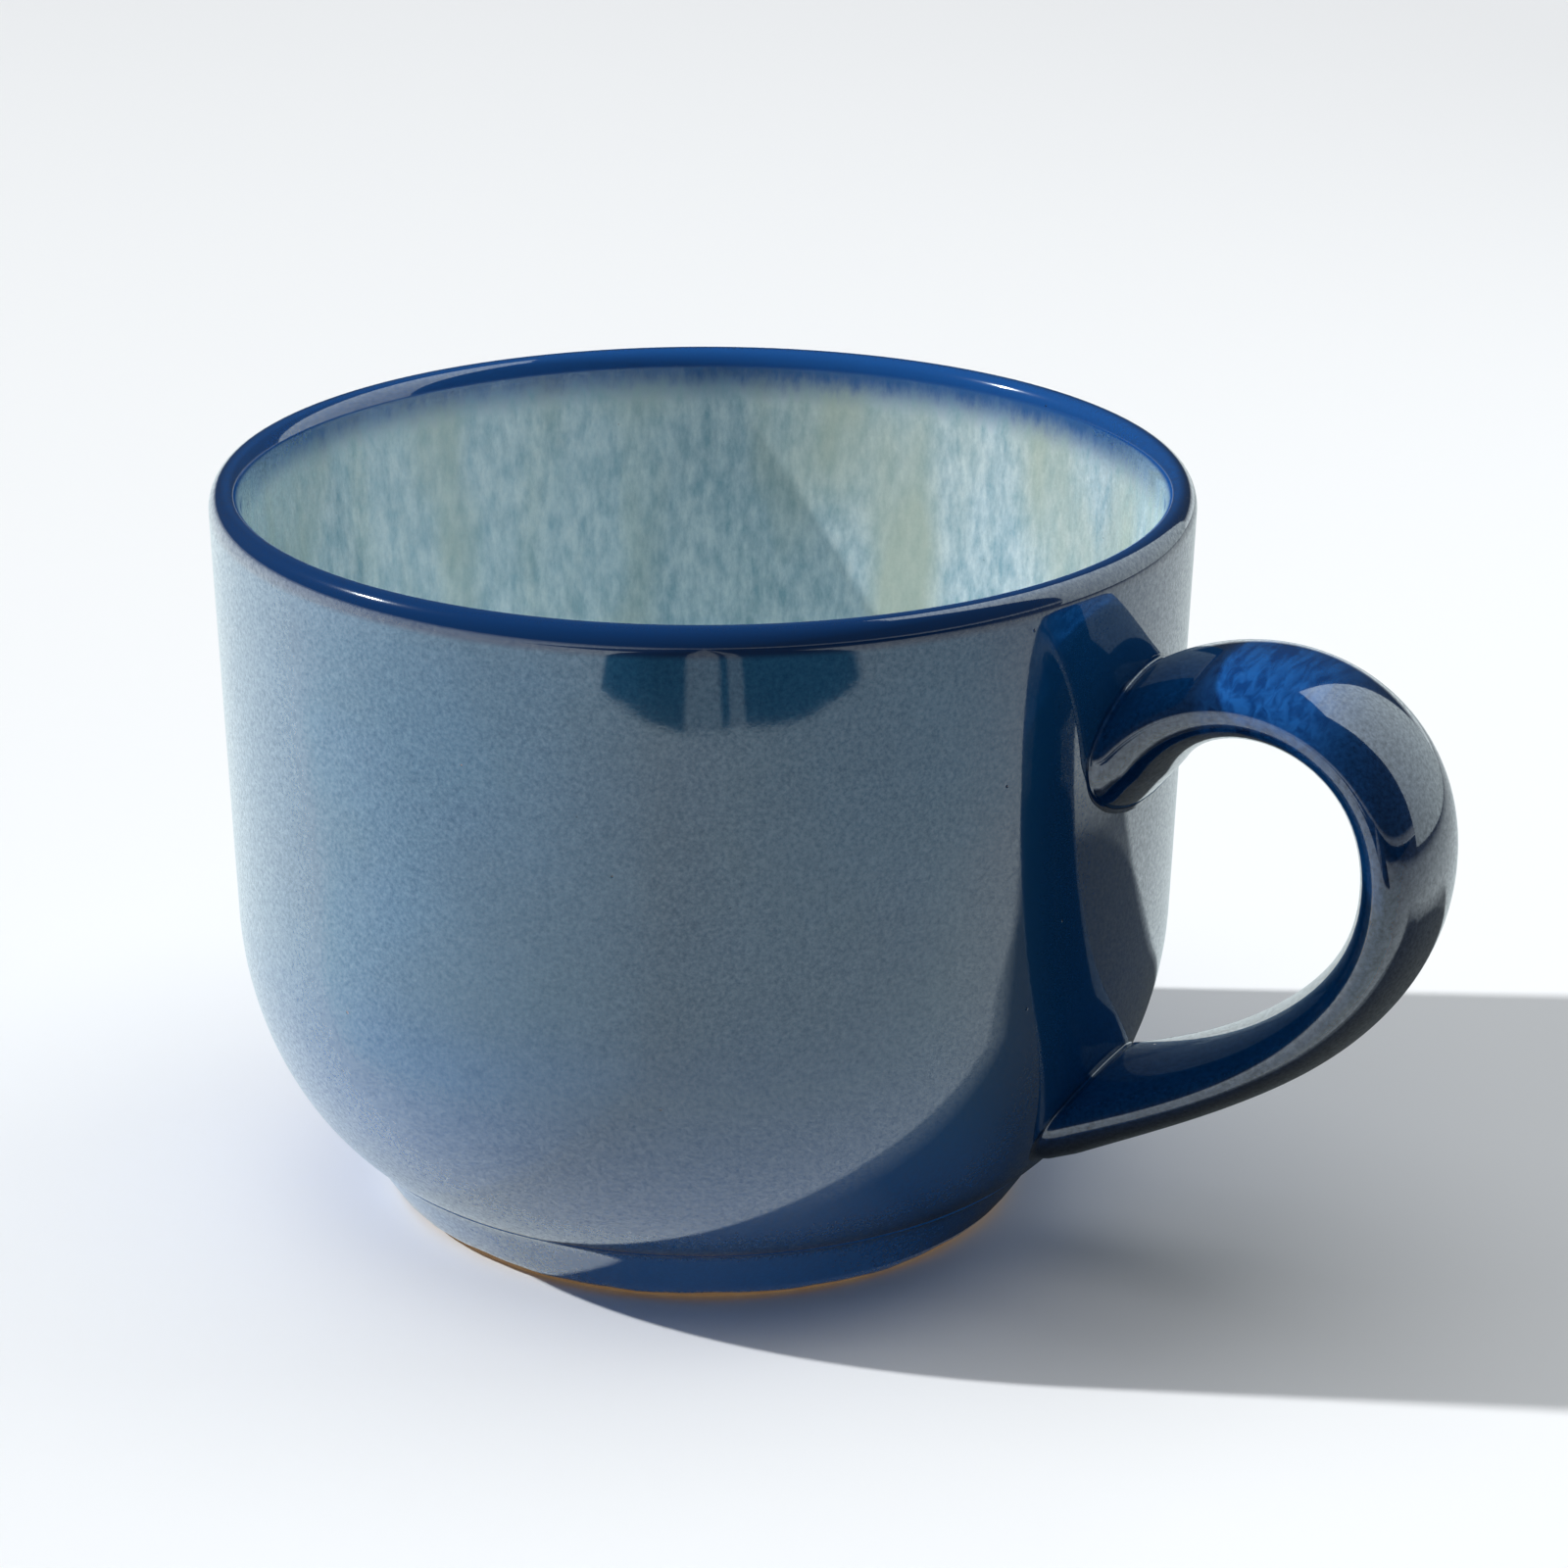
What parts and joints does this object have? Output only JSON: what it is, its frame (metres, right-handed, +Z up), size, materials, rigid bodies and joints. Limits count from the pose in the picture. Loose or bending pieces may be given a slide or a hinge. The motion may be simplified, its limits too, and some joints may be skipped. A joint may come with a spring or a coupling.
{
  "type": "soup mug",
  "caption": "Wide stoneware soup mug with a rolled lip, a rounded belly on a low tapered foot, an ear handle and a dark blue glaze.",
  "frame": {"origin": "on the mug's axis, on the flat face of the foot that meets the table", "axes": "+Z up along the mug's axis, +X towards the handle, +Y completes the right-handed frame"},
  "size_m": [0.1573, 0.12, 0.092],
  "materials": {
    "bare_stoneware": "unglazed, matt, fine-grained",
    "fired_slip": "unglazed, matt",
    "dark_blue_glaze": "glossy, finely mottled",
    "handle_blue_glaze": "glossy, finely mottled",
    "lip_blue_glaze": "glossy, breaking to pale blue in streaks",
    "pale_streaked_glaze": "glossy, streaked pale blue and grey-green"
  },
  "bodies": {
    "root": {"stoneware_bowl": "bare_stoneware", "stoneware_handle": "bare_stoneware", "upper_slip_joint": "fired_slip", "lower_slip_joint": "fired_slip", "outside_glaze": "dark_blue_glaze", "handle_glaze": "handle_blue_glaze", "rim_glaze": "lip_blue_glaze", "inside_glaze": "pale_streaked_glaze", "base_glaze": "dark_blue_glaze"}
  },
  "joints": []
}
